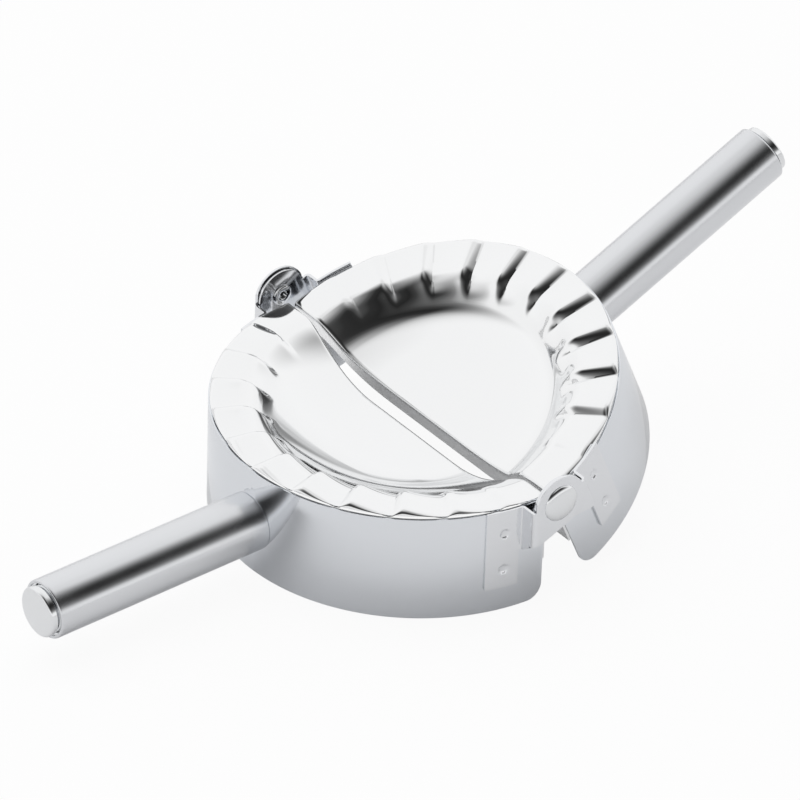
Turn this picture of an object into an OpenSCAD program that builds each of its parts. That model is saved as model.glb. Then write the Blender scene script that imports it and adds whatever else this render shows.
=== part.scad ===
// Hinged press for filled pastry rounds: two half rings, each with a dished and pleated plate,
// joined by two riveted hinges and worked by a pair of tube handles.
// X runs along the handles, Y along the hinge line, Z up. The origin is on the standing surface,
// midway between the hinges. The left half lies flat and the right half is shown partly raised.

/* [Ring] */
// Outer radius of the half rings
ring_r = 61; // [50:1:75]
// Sheet thickness of the half rings
ring_wall = 0.8; // [0.8:0.1:1.5]
// Height of the hinge line above the standing surface
hinge_h = 36; // [32:0.1:44]
// Radius of the rounded lower corners at the ring ends
corner_r = 5; // [2:0.5:12]

/* [Plates] */
// Sheet thickness of the pleated plates
plate_wall = 0.8; // [0.6:0.1:1.2]
// How far the plate edge stays inside the ring's outer face
rim_inset = 0.4; // [0.2:0.1:0.7]
// Width of the pleated rim from the bowl's shoulder to the edge
rim_w = 11.4; // [10:0.2:16]
// Depth of the bowl below the hinge line
bowl_depth = 12.8; // [8:0.1:16]
// Radius of the flat floor of the left bowl
bowl_floor_r = 20; // [10:1:24]
// How much shallower the right bowl is
right_bowl_less = 0.7; // [0:0.1:2]
// Radius of the right bowl's dished floor, up to the round at the foot of its wall
right_dish_r = 37; // [34:0.5:38]
// Slope of the right bowl's wall
right_wall_slope = 46; // [42:0.5:50]
// How much further in the right bowl's shoulder lies
right_shoulder_in = 1.6; // [0:0.1:3]
// Height of the pleats
pleat_h = 2.2; // [1:0.1:3]
// Number of folds across each plate
pleat_count = 11; // [7:2:15]
// Share of a fold taken by its steep face
steep = 0.22; // [0.12:0.01:0.3]
// Share of the left pleats' height that is left at the edge of the plate
left_edge_share = 0.82; // [0.5:0.01:0.82]
// Share of the right pleats' depth that is left at the edge of the plate
right_edge_share = 0.73; // [0.73:0.01:1]
// Width of the turned-down lip along the dividing edge
lip_w = 7; // [3:0.5:9]
// Gap between the facing plates when the press is shut
shut_gap = 0.6; // [0.6:0.1:1]
// Half of the gap between the two dividing edges when the press lies open
part_gap = 0.15; // [0.15:0.05:0.6]
// Width of the end tabs of the lip
tab_w = 9.6; // [5:0.2:11]
// Height of the end tabs' lower edge above the standing surface
tab_low = 13; // [8:0.5:20]

/* [Hinges] */
// Sheet thickness of the hinge leaves
leaf_t = 0.8; // [0.8:0.1:1.2]
// Width of the flat part of a leaf
leaf_w = 11.4; // [8:0.2:12]
// Height of the flat part of a leaf
leaf_h = 27; // [22:0.5:29]
// Distance of the middle of a leaf from the hinge line, along the ring
leaf_off = 14.6; // [14.6:0.1:20]
// How much further from the hinge line the right leaves sit
right_leaf_shift = 1.4; // [0:0.1:3]
// Height of a leaf's arm where it leaves the flat part
arm_h = 14.7; // [10:0.1:18]
// How far the arm climbs on its way out to the ear
arm_climb = 3.3; // [0:0.1:4]
// Radius of the outer ears
ear_r = 8.8; // [7:0.1:9]
// How much smaller the inner ears are, to turn clear of the outer leaves' arms
inner_ear_less = 0.6; // [0.5:0.1:1.5]
// Distance from the ring's face to the nearer face of the inner ears
ear_out = 3.9; // [3:0.1:7]
// Radius of a rivet's shank
rivet_r = 2.2; // [1.8:0.1:2.8]
// Radius of a rivet's domed head
head_r = 5.9; // [5:0.1:8]
// Height of a rivet's domed head
head_h = 1.8; // [1:0.1:3]
// Radius of the rolled tail of a rivet
tail_r = 3.3; // [3.2:0.1:5]
// Thickness of the rolled tail
tail_t = 0.5; // [0.4:0.1:1]
// Thickness of the washer between the ears
washer_t = 0.2; // [0.2:0.1:0.8]
// Radius of the washer between the ears
washer_r = 7; // [6:0.1:8.5]
// Radial clearance of a rivet in the ear that turns on it
turn_fit = 0.05; // [0.02:0.01:0.1]
// Side clearance between the parts that turn
side_fit = 0.1; // [0.05:0.05:0.2]
// Angle that the right half is raised from lying flat
raise = 23.35; // [0:0.05:60]

/* [Handles] */
// Outer diameter of a handle tube
tube_d = 18; // [14:0.5:22]
// Wall of a handle tube
tube_wall = 1; // [0.8:0.1:1.5]
// Length of a handle tube beyond the ring
tube_len = 73.2; // [50:0.2:140]
// Height of a handle's axis above the standing surface
tube_h = 16.6; // [14:0.2:20]
// Radius of the end plug's raised face
plug_face_r = 7.7; // [5:0.1:7.8]
// How far the end plug stands out of the tube
plug_out = 2.6; // [1:0.1:5]
// Length of the end plug inside the tube
plug_in = 8; // [4:0.5:20]
// Length of the threaded insert at the ring's end of a tube
insert_len = 12; // [8:0.5:25]
// Diameter of the screw that holds a handle
screw_d = 5; // [4:0.5:6]
// Length of the screw's thread in the insert
screw_in = 9; // [5:0.5:11]
// Radius of the screw's head
screw_head_r = 4.6; // [4:0.1:5.5]
// Height of the screw's head
screw_head_h = 2.6; // [2:0.1:3.5]

/* [Hidden] */
$fn = 96;
snug = 0.02;
eps = 0.01;
weld_gap = 0.05;
bend_r = 1.4;
web_share = 0.62;
web_rise = 0.3;
web_meets = 20;
plug_edge = 0.9;
plug_groove = 0.5;
socket_r = screw_d * 0.32;
dimple_r = 1.7;
dimple_depth = 0.35;
tail_bore_r = rivet_r * 0.6;
ring_in_r = ring_r - ring_wall;
rim_r = ring_r - rim_inset;
shoulder_r = rim_r - rim_w;
right_shoulder_r = shoulder_r - right_shoulder_in;
bowl_floor = hinge_h - bowl_depth;
tube_r = tube_d / 2;
bore_r = tube_r - tube_wall;
tube_end = ring_r + tube_len;

// Pleats: the left ones stand above the hinge line, the right ones lie below it and nest with them
ramp_bow = 1.3;
roll_w = 0.9;
right_roll_w = 1.6;
outer_share = 0.35;
next_share = 0.8;
shoulder_round = 2;
grow_start = 3.8;
grow_w = 4.6;
right_grow_start = 5.2;
right_grow_w = 5.2;
dish_rise = 2.2;
dish_power = 4.3;
pitch = 180 / (pleat_count + 1);
nest = ramp_left(1 - steep);
left_low = hinge_h - shut_gap / 2;
right_high = hinge_h - shut_gap / 2 - nest * pleat_h;
right_edge = right_high - pleat_h * right_edge_share;
left_skirt_h = left_low - plate_wall - weld_gap;
right_skirt_h = right_edge - plate_wall - weld_gap;
skirt_end = part_gap + plate_wall + weld_gap;

// Ears stacked outwards from the inner ear's near face
inner_ear_y = ring_r + ear_out;
washer_y = inner_ear_y + leaf_t + side_fit;
outer_ear_y = washer_y + washer_t;
head_y = outer_ear_y + leaf_t;
tail_y = inner_ear_y - side_fit;
leaf_in_r = ring_r + weld_gap;
leaf_top = hinge_h - 0.7;
leaf_low = leaf_top - leaf_h;
arm_low = leaf_top - arm_h;
ear_foot = arm_low + arm_climb;

function blend(t) = let (c = min(1, max(0, t))) c * c * (3 - 2 * c);
function lerp(a, b, t) = a + (b - a) * t;
function soft_min(a, b, k) = let (d = max(0, k - abs(a - b)) / k) min(a, b) - d * d * k / 4;

// Height of a fold from one crease (0) to the next (1): a steep rise, then a long bowed ramp down
function ramp_left(u) =
  u < steep ? sin(90 * u / steep) : pow(max(0, 1 - (u - steep) / (1 - steep)), ramp_bow);

// How much of the full pleat height a crease has: the outermost ones are shallow
function crease_share(i) =
  let (k = min(i, pleat_count + 1 - i)) k <= 0 ? 0 : k == 1 ? outer_share : k == 2 ? next_share : 1;

function share_at(phi) =
  let (p = phi / pitch, i = min(floor(p), pleat_count)) lerp(crease_share(i), crease_share(i + 1), p - i);

function panel_at(phi) = let (p = phi / pitch) p - min(floor(p), pleat_count);

// How far the pleats have grown at a radius, starting on the bowl's wall
function grown(r, right) =
  right ? blend((r - right_shoulder_r + right_grow_start) / right_grow_w)
  : blend((r - shoulder_r + grow_start) / grow_w);

// Left bowl: a flat floor and a wall that steepens evenly up to the shoulder
function left_bowl(r) =
  let (t = max(0, (r - bowl_floor_r) / (shoulder_r - bowl_floor_r)))
  bowl_floor + (left_low - bowl_floor) * t * t;

// Right bowl: a wider dished floor, a round and a straight steep wall
function right_bowl(r) =
  let (
    low = bowl_floor + right_bowl_less,
    dish_slope = dish_rise * dish_power / right_dish_r,
    wall_slope = tan(right_wall_slope),
    round_w = (right_high - low - dish_rise - wall_slope * (right_shoulder_r - right_dish_r))
      / ((dish_slope - wall_slope) / 2),
    out = max(0, r - right_dish_r),
    d = min(out, round_w)
  )
  r < right_dish_r ? low + dish_rise * pow(r / right_dish_r, dish_power)
  : low + dish_rise + dish_slope * d
    + (wall_slope - dish_slope) * d * d / (2 * round_w)
    + wall_slope * (out - d);

// Height of the bowl and of the flat rim round it
function bowl_z(r, right) =
  right ? soft_min(right_bowl(r), right_high + 0.1, shoulder_round)
  : soft_min(left_bowl(r), left_low + 0.1, shoulder_round);

// Share of the folds at a radius, falling evenly from the shoulder to the edge
function kept(r, edge_share) = lerp(1, edge_share, max(0, r - shoulder_r) / rim_w);

// Quarter-round roll at the edge, from 1 where it starts to 0 at the edge itself
function rolled(r, w) = sqrt(max(0, 1 - pow(max(0, r - rim_r + w) / w, 2)));

// Left plate: folds above the creases, rolled down at the edge onto the ring
function left_z(r, phi) =
  let (up = pleat_h * share_at(phi) * ramp_left(panel_at(phi)) * grown(r, false) * kept(r, left_edge_share))
  bowl_z(r, false) + up * rolled(r, roll_w);

// Right plate: the same folds seen from the other side, with straight creases and a wider roll
function right_z(r, phi) =
  let (
    fold = 1 - ramp_left(1 - panel_at(phi)),
    down = pleat_h * share_at(phi) * fold * grown(r, true) * kept(r, right_edge_share)
  )
  lerp(right_edge, bowl_z(r, true) - down, rolled(r, right_roll_w));

function plate_z(r, phi, right) = right ? right_z(r, phi) : left_z(r, phi);

// Fractions of a fold at which the plate has a row of points, crowded at the steep face
fold_steps = [0, steep * 0.3, steep * 0.65, steep, steep + 0.18, steep + 0.38, steep + 0.58];
function step_at(k, right) = right ? (k == 0 ? 0 : 1 - fold_steps[len(fold_steps) - k]) : fold_steps[k];
function angles(right) = concat(
  [for (i = [0:pleat_count]) for (k = [0:len(fold_steps) - 1]) pitch * (i + step_at(k, right))],
  [180]
);

// Radii of the rings of points, from the middle of the bowl to the edge
tab_r = rim_r - tab_w;
function radii() = concat(
  [for (t = [0.35, 0.7, 1]) bowl_floor_r * t],
  [for (t = [0.19, 0.34, 0.46, 0.55, 0.62, 0.69, 0.75, 0.81]) lerp(bowl_floor_r, shoulder_r, t)],
  [for (t = [0, 0.25, 0.5, 0.75]) lerp(shoulder_r - grow_start - 0.3, tab_r - 0.3, t)],
  [tab_r - 0.3, tab_r],
  [for (t = [0.35, 0.65]) lerp(tab_r, rim_r, t)],
  [rim_r - 2.4, rim_r - right_roll_w, rim_r - roll_w, rim_r - roll_w * 0.5, rim_r - roll_w * 0.15, rim_r]
);

// Lower edge of the lip at a place along the dividing edge: it follows the bowl, with a tab at each end
function lip_low(y) =
  let (a = abs(y), edge = bowl_z(a, false))
  a > tab_r - 0.1 ? tab_low : edge - lip_w * lerp(1, 1.28, blend((a - bowl_floor_r) / 22));

// Distance of a point from the hinge line: the edge rows keep to the dividing edge's own line
function plan_x(r, a, x_edge) = r * sin(a) + x_edge * max(0, 1 - min(a, 180 - a) / pitch);

// The underside of the edge's roll lies nearer the middle than its top
function under_r(r) = r > rim_r - eps ? r : r - plate_wall * 0.6 * blend((r - rim_r + 2.6) / 1.4);

// A half plate with its lip, as one closed shell of rings of points round the bowl
module press_plate_shell(right) {
  ph = angles(right);
  rr = radii();
  n = len(ph);
  m = len(rr);
  side = right ? 1 : -1;
  x_out = part_gap;
  x_in = part_gap + plate_wall;
  top = [for (r = rr) for (a = ph) [side * plan_x(r, a, x_out), r * cos(a), plate_z(r, a, right)]];
  under = [for (r = rr) for (a = ph) let (q = under_r(r))
    [side * plan_x(q, a, x_in), q * cos(a), plate_z(r, a, right) - plate_wall]];
  hub_z = plate_z(0, 0, right);
  hubs = [[side * x_out, 0, hub_z], [side * x_in, 0, hub_z - plate_wall]];
  // Stations along the dividing edge from the back end to the front end
  back = [for (j = [m - 1:-1:0]) rr[j]];
  ys = concat(back, [0], [for (r = rr) -r]);
  low_out = [for (y = ys) [side * x_out, y, lip_low(y)]];
  low_in = [for (y = ys) [side * x_in, sign(y) * under_r(abs(y)), lip_low(y)]];
  q = m * n;
  hub_t = 2 * q;
  hub_u = hub_t + 1;
  lo = hub_u + 1;
  li = lo + len(ys);
  top_edge = concat([for (j = [m - 1:-1:0]) j * n], [hub_t], [for (j = [0:m - 1]) j * n + n - 1]);
  under_edge = concat([for (j = [m - 1:-1:0]) q + j * n], [hub_u], [for (j = [0:m - 1]) q + j * n + n - 1]);
  quads = concat(
    [for (j = [0:m - 2]) for (i = [0:n - 2])
      [j * n + i, j * n + i + 1, (j + 1) * n + i + 1, (j + 1) * n + i]],
    [for (j = [0:m - 2]) for (i = [0:n - 2])
      [q + (j + 1) * n + i, q + (j + 1) * n + i + 1, q + j * n + i + 1, q + j * n + i]],
    [for (i = [0:n - 2])
      [(m - 1) * n + i, (m - 1) * n + i + 1, q + (m - 1) * n + i + 1, q + (m - 1) * n + i]],
    [for (k = [0:len(ys) - 2]) [top_edge[k + 1], top_edge[k], lo + k, lo + k + 1]],
    [for (k = [0:len(ys) - 2]) [lo + k + 1, lo + k, li + k, li + k + 1]],
    [for (k = [0:len(ys) - 2]) [li + k + 1, li + k, under_edge[k], under_edge[k + 1]]]
  );
  fans = concat(
    [for (i = [0:n - 2]) [hub_t, i + 1, i]],
    [for (i = [0:n - 2]) [hub_u, q + i, q + i + 1]],
    [[top_edge[0], under_edge[0], li], [top_edge[0], li, lo]],
    let (e = len(ys) - 1) [[top_edge[e], li + e, under_edge[e]], [top_edge[e], lo + e, li + e]]
  );
  halves = [for (f = quads) each [[f[0], f[1], f[2]], [f[0], f[2], f[3]]]];
  tris = concat(halves, fans);
  faces = right ? [for (f = tris) [f[2], f[1], f[0]]] : tris;
  polyhedron(points = concat(top, under, hubs, low_out, low_in), faces = faces, convexity = 8);
}

// Outline of a half ring seen from the front: straight end with a rounded lower corner
module skirt_front(h) {
  translate([skirt_end, corner_r]) square([ring_r, h - corner_r]);
  translate([skirt_end + corner_r, 0]) square([ring_r, corner_r + 1]);
  translate([skirt_end + corner_r, corner_r]) circle(r = corner_r);
}

// A half ring on the +X side, with the hole for the handle's screw
module skirt(h) {
  difference() {
    intersection() {
      difference() {
        cylinder(r = ring_r, h = h, $fn = 180);
        translate([0, 0, -1]) cylinder(r = ring_in_r, h = h + 2, $fn = 180);
      }
      rotate([90, 0, 0]) linear_extrude(height = 2 * ring_r + 2, center = true) skirt_front(h + 1);
    }
    translate([ring_in_r - 2, 0, tube_h]) rotate([0, 90, 0])
      cylinder(d = screw_d + 4 * snug, h = ring_wall + 4, $fn = 48);
  }
}

// Turn of a leaf round the ring, and the place of its arm, from how far its middle is off the hinge line
function turn_of(off) = asin(off / (leaf_in_r + leaf_t / 2));
function arm_of(off) = off - leaf_w / 2 * cos(turn_of(off));

// Plan of a leaf's arm on the +X side, at the back: the wall outwards, the bend and the ear
module arm_plan(off, ear_y) {
  x_near = arm_of(off) - leaf_t / 2;
  foot_y = leaf_in_r * cos(turn_of(off)) + leaf_w / 2 * sin(turn_of(off));
  bend_x = x_near + leaf_t - bend_r;
  bend_y = ear_y + leaf_t - bend_r;
  in_r = bend_r - leaf_t;
  polygon(concat(
    [[x_near, foot_y], [x_near + leaf_t, foot_y]],
    [for (a = [0:15:90]) [bend_x + bend_r * cos(a), bend_y + bend_r * sin(a)]],
    [[-ear_r - 1, ear_y + leaf_t], [-ear_r - 1, ear_y]],
    [for (a = [90:-30:0]) [bend_x + in_r * cos(a), bend_y + in_r * sin(a)]]
  ));
}

// The arm seen from the end of the press: it climbs on its way out, then the ear rises
module arm_side(ear_y) {
  near = ring_r - 4;
  far = ear_y + leaf_t + 1;
  polygon([
    [near, arm_low], [ring_r + leaf_t, arm_low], [ear_y, ear_foot], [far, ear_foot],
    [far, hinge_h + ear_r + 1], [ear_y - eps, hinge_h + ear_r + 1],
    [ear_y - eps, leaf_top], [near, leaf_top]
  ]);
}

// The arm seen from the front: the wall, the round ear and the web between them
module arm_front(arm_x, r) {
  translate([arm_x - bend_r, 0]) square([leaf_t + bend_r + 1, leaf_top]);
  translate([0, hinge_h]) circle(r = r);
  polygon([
    [arm_x, leaf_top], [arm_x, ear_foot], [arm_x * web_share, ear_foot + web_rise],
    [-r * sin(web_meets), hinge_h - r * cos(web_meets)], [0, leaf_top]
  ]);
}

module hinge_leaf(off, ear_y, r, hole_r) {
  turn = turn_of(off);
  arm_x = arm_of(off);
  difference() {
    union() {
      rotate([0, 0, -turn]) translate([-leaf_w / 2, leaf_in_r, leaf_low]) cube([leaf_w, leaf_t, leaf_h]);
      intersection() {
        linear_extrude(height = hinge_h + ear_r + 2) arm_plan(off, ear_y);
        rotate([90, 0, 90]) translate([0, 0, -ear_r - 2])
          linear_extrude(height = arm_x + 2 * ear_r) arm_side(ear_y);
        rotate([90, 0, 0]) translate([0, 0, -ear_y - 4])
          linear_extrude(height = ear_y / 2) arm_front(arm_x, r);
      }
    }
    translate([0, ear_y - 1, hinge_h]) rotate([-90, 0, 0]) cylinder(r = hole_r, h = leaf_t + 2, $fn = 64);
    for (z = [0.24, 0.7])
      rotate([0, 0, -turn]) translate([0, leaf_in_r + leaf_t - dimple_depth, leaf_low + leaf_h * z])
        rotate([-90, 0, 0]) cylinder(r = dimple_r, h = 1, $fn = 32);
  }
}

module outer_leaf() { hinge_leaf(leaf_off, outer_ear_y, ear_r, rivet_r + snug); }
module inner_leaf() {
  hinge_leaf(leaf_off + right_leaf_shift, inner_ear_y, ear_r - inner_ear_less, rivet_r + turn_fit);
}

// Handle on the +X side: a straight tube with its end cut to the ring
module handle_tube() {
  difference() {
    translate([ring_in_r - 2, 0, tube_h]) rotate([0, 90, 0]) difference() {
      cylinder(r = tube_r, h = tube_end - ring_in_r + 2);
      translate([0, 0, -1]) cylinder(r = bore_r, h = tube_len + 10);
    }
    cylinder(r = ring_r + snug, h = 2 * tube_h + tube_d, center = true, $fn = 180);
  }
}

module end_plug() {
  groove_r = plug_face_r - plug_groove;
  edge_r = plug_face_r - plug_edge;
  translate([tube_end, 0, tube_h]) rotate([0, 90, 0]) rotate_extrude() polygon(concat(
    [[0, -plug_in], [bore_r - snug, -plug_in], [bore_r - snug, -plug_groove]],
    [[groove_r, -plug_groove], [groove_r, plug_groove], [plug_face_r, plug_groove]],
    [for (a = [0:15:90]) [edge_r + plug_edge * cos(a), plug_out - plug_edge + plug_edge * sin(a)]],
    [[0, plug_out]]
  ));
}

module handle_insert() {
  difference() {
    translate([ring_in_r - 2, 0, tube_h]) rotate([0, 90, 0]) difference() {
      cylinder(r = bore_r - snug, h = insert_len + ring_wall + 2);
      translate([0, 0, -1]) cylinder(d = screw_d + 2 * snug, h = insert_len + ring_wall + 4, $fn = 48);
    }
    cylinder(r = ring_r + snug, h = 2 * tube_h + tube_d, center = true, $fn = 180);
  }
}

module handle_screw() {
  seat_x = sqrt(ring_in_r * ring_in_r - screw_head_r * screw_head_r) - snug;
  difference() {
    translate([seat_x, 0, tube_h]) rotate([0, 90, 0]) {
      cylinder(d = screw_d, h = ring_r - seat_x + screw_in, $fn = 48);
      translate([0, 0, -screw_head_h]) cylinder(r = screw_head_r, h = screw_head_h, $fn = 64);
    }
    translate([seat_x - screw_head_h - 1, 0, tube_h]) rotate([0, 90, 0])
      cylinder(r = socket_r, h = screw_head_h * 0.6 + 1, $fn = 6);
  }
}

// Rivet at the back: head outside, shank through both ears, rolled hollow tail inside
module rivet() {
  dome_r = (head_r * head_r + head_h * head_h) / (2 * head_h);
  arc = asin(head_r / dome_r);
  tip = head_y + head_h;
  translate([0, 0, hinge_h]) rotate([-90, 0, 0]) rotate_extrude() polygon(concat(
    [[tail_bore_r, tail_y - tail_t], [tail_r - tail_t / 2, tail_y - tail_t], [tail_r, tail_y - tail_t / 2]],
    [[tail_r, tail_y], [rivet_r, tail_y], [rivet_r, head_y], [head_r, head_y]],
    [for (k = [0:8]) [dome_r * sin(arc * (1 - k / 8)), tip - dome_r + dome_r * cos(arc * (1 - k / 8))]],
    [[0, inner_ear_y + leaf_t], [tail_bore_r, inner_ear_y + leaf_t - 0.6]]
  ));
}

module washer() {
  translate([0, washer_y, hinge_h]) rotate([-90, 0, 0]) difference() {
    cylinder(r = washer_r, h = washer_t, $fn = 64);
    translate([0, 0, -1]) cylinder(r = rivet_r + snug, h = washer_t + 2, $fn = 64);
  }
}

// Left pieces are the +X ones mirrored; right pieces are raised about the hinge line
module to_left() { mirror([1, 0, 0]) children(); }
module to_front() { mirror([0, 1, 0]) children(); }
module raised() {
  translate([0, 0, hinge_h]) rotate([0, -raise, 0]) translate([0, 0, -hinge_h]) children();
}

module left_press_plate() { color("gainsboro") press_plate_shell(false); }
module left_skirt() { color("lightgray") to_left() skirt(left_skirt_h); }
module left_back_leaf() { color("silver") to_left() outer_leaf(); }
module left_front_leaf() { color("silver") to_front() to_left() outer_leaf(); }
module left_handle_tube() { color("darkgray") to_left() handle_tube(); }
module left_end_plug() { color("silver") to_left() end_plug(); }
module left_handle_insert() { color("gray") to_left() handle_insert(); }
module left_handle_screw() { color("dimgray") to_left() handle_screw(); }

module right_press_plate() { color("gainsboro") raised() press_plate_shell(true); }
module right_skirt() { color("lightgray") raised() skirt(right_skirt_h); }
module right_back_leaf() { color("silver") raised() inner_leaf(); }
module right_front_leaf() { color("silver") raised() to_front() inner_leaf(); }
module right_handle_tube() { color("darkgray") raised() handle_tube(); }
module right_end_plug() { color("silver") raised() end_plug(); }
module right_handle_insert() { color("gray") raised() handle_insert(); }
module right_handle_screw() { color("dimgray") raised() handle_screw(); }

module back_rivet() { color("silver") rivet(); }
module front_rivet() { color("silver") to_front() rivet(); }
module back_washer() { color("gray") washer(); }
module front_washer() { color("gray") to_front() washer(); }

left_press_plate();
left_skirt();
left_front_leaf();
left_back_leaf();
left_handle_tube();
left_end_plug();
left_handle_insert();
left_handle_screw();
right_press_plate();
right_skirt();
right_front_leaf();
right_back_leaf();
right_handle_tube();
right_end_plug();
right_handle_insert();
right_handle_screw();
front_rivet();
back_rivet();
front_washer();
back_washer();
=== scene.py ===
"""Looks of the hinged pastry press: pleated plates, ring walls, hinge leaves, rivets and tube handles."""
import bpy
import bmesh
from math import asin, atan2, cos, degrees, pi, radians, sin, sqrt, tan
from mathutils import Matrix, Vector


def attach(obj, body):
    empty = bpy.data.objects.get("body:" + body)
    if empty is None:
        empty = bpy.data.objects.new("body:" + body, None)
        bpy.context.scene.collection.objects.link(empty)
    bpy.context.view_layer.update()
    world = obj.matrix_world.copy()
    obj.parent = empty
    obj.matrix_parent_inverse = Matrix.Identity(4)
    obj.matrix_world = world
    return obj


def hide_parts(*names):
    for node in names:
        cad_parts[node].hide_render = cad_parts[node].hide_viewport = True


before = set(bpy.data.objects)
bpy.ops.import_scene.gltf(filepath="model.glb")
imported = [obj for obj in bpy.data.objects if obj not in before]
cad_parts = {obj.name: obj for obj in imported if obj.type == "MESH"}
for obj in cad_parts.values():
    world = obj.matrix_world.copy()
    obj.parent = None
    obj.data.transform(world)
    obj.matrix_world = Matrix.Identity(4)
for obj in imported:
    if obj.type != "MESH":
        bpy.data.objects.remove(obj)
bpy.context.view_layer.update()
MM = 0.001

# Ring walls: the hinge line's height, the raised half's angle, the sheet and the rounded lower corners
RING_R = 61.0 * MM
RING_WALL = 0.8 * MM
HINGE_H = 36.0 * MM
RAISE = radians(23.35)
LEFT_RING_H = 34.84 * MM
RIGHT_RING_H = 32.8 * MM
RING_END = 1.0 * MM
CORNER_R = 5.0 * MM
CORNER_CUTS = 9
SCREW_HOLE_R = 2.54 * MM
RING_EDGE = 0.12 * MM
FINE_ROUND = 360

# Plates: the sheet and its rim
PLATE_WALL = 0.8 * MM
RIM_R = 60.6 * MM
SHOULDER_R = 49.2 * MM
RIGHT_SHOULDER_R = 47.6 * MM
LEFT_SHOULDER_ROUND = 3.6 * MM
RIGHT_SHOULDER_ROUND = 2.0 * MM
SHUT_GAP = 0.6 * MM
# Bowls: the left one has a flat floor, the right one a wider dished floor and a straight wall
BOWL_DEPTH = 12.8 * MM
BOWL_FLOOR = HINGE_H - BOWL_DEPTH
FLOOR_R = 20.0 * MM
RIGHT_LESS = 1.3 * MM
RIGHT_DISH_R = 37.6 * MM
DISH_RISE = 2.6 * MM
DISH_POWER = 4.3
RIGHT_SLOPE = tan(radians(42))
# Pleats: the share of a fold in its steep face, and how the folds grow on the wall and fade to the edge
PLEAT_H = 2.2 * MM
PLEATS = 11
PITCH = 180.0 / (PLEATS + 1)
STEEP = 0.22
RAMP_BOW = 1.3
OUTER_SHARE = 0.35
NEXT_SHARE = 0.8
LEFT_GROW_START = 7.6 * MM
LEFT_GROW_W = 7.8 * MM
RIGHT_GROW_START = 6.2 * MM
RIGHT_GROW_W = 6.4 * MM
LEFT_EDGE_SHARE = 0.82
RIGHT_EDGE_SHARE = 0.73
LEFT_ROLL_W = 1.8 * MM
RIGHT_ROLL_W = 1.6 * MM
LEFT_VALLEY_R = 44.0 * MM
RIGHT_VALLEY_R = 45.0 * MM
VALLEY_CREASE = 0.85
SHEET_CREASE = 0.9
LEFT_TOP = HINGE_H - SHUT_GAP / 2
RIGHT_TOP = LEFT_TOP - (STEEP / (1 - STEEP)) ** RAMP_BOW * PLEAT_H
# Dividing edge: the bend, the lip below it and the tabs at the lip's ends
PART_GAP = 0.15 * MM
BEND_R = 1.5 * MM
BEND_STEPS = 6
LIP_W = 7.0 * MM
LIP_SPREAD = 0.28
LIP_SPREAD_W = 22.0 * MM
TAB_R = 50.85 * MM
TAB_LOW = 13.0 * MM

# Hinge leaves: the flat on the ring, the arm and the ears
LEAF_T = 0.8 * MM
LEAF_MID_R = RING_R + 0.05 * MM + LEAF_T / 2
LEAF_W = 11.4 * MM
LEAF_H = 27.0 * MM
LEAF_TOP = HINGE_H - 0.7 * MM
LEAF_LOW = LEAF_TOP - LEAF_H
LEAF_EDGE = 0.16 * MM
LEFT_LEAF_OFF = 14.6 * MM
RIGHT_LEAF_OFF = 16.0 * MM
ARM_LOW = LEAF_TOP - 14.7 * MM
EAR_FOOT = ARM_LOW + 3.3 * MM
FOLD_R = 0.8 * MM
EAR_BEND_R = 1.1 * MM
OUTER_EAR_R = 8.8 * MM
INNER_EAR_R = 8.2 * MM
OUTER_EAR_Y = 66.4 * MM
INNER_EAR_Y = 65.3 * MM
FIXED_HOLE_R = 2.23 * MM
TURNING_HOLE_R = 2.26 * MM
WEB_SHARE = 0.62
WEB_RISE = 0.3 * MM
WEB_MEETS = radians(20)
WELD_SHARES = (0.24, 0.7)
WELD_RINGS = ((2.0, -0.08), (1.75, 0.2), (1.4, 0.24), (0.9, 0.05))

# Handle tubes and rivets
TUBE_H = 16.6 * MM
TUBE_LEN = 73.2 * MM
TUBE_FOOT = RING_R + 0.02 * MM
HEAD_R = 5.8
HEAD_H = 1.8
HEAD_Y = 66.8
TAIL_Y = 64.8

# View: the camera's turn, height and roll, the point it looks at, its distance and its focal length
VIEW_TURN, VIEW_HEIGHT, VIEW_ROLL = radians(-39.26), radians(34.89), radians(1.89)
VIEW_TARGET = Vector((13.459, 23.990, 15.152)) * MM
VIEW_DISTANCE = 2012.19 * MM
FOCAL_SHARE = 6755.1 / 800.0

# Studio: the way its dark side faces, where that side starts and ends, and its grey by height
DARK_SIDE = radians(-115)
SIDE_START, SIDE_FULL = -0.42, 0.5
DARK_GREYS = ((0.12, 0.98), (0.2, 0.9), (0.28, 0.45), (0.36, 0.2), (0.43, 0.12), (0.53, 0.05),
              (0.64, 0.02), (0.74, 0.03), (0.82, 0.09), (0.9, 0.24), (0.96, 0.45), (1.0, 0.7))
BRIGHT_GREYS = ((0.0, 0.95), (0.5, 1.0), (0.85, 0.98), (1.0, 0.8))
CAMERA_BLEACH = 0.93
MIRROR_BLEACH = 0.1
FLOOR_SIZE = 14.0
FLOOR_DROP = 0.2 * MM
LAMP_POWER = 11.5
LAMP_SIZE = 1.8
LAMP_PLACE = (-0.25, 0.35, 1.7)


# Camera, floor and light

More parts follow.
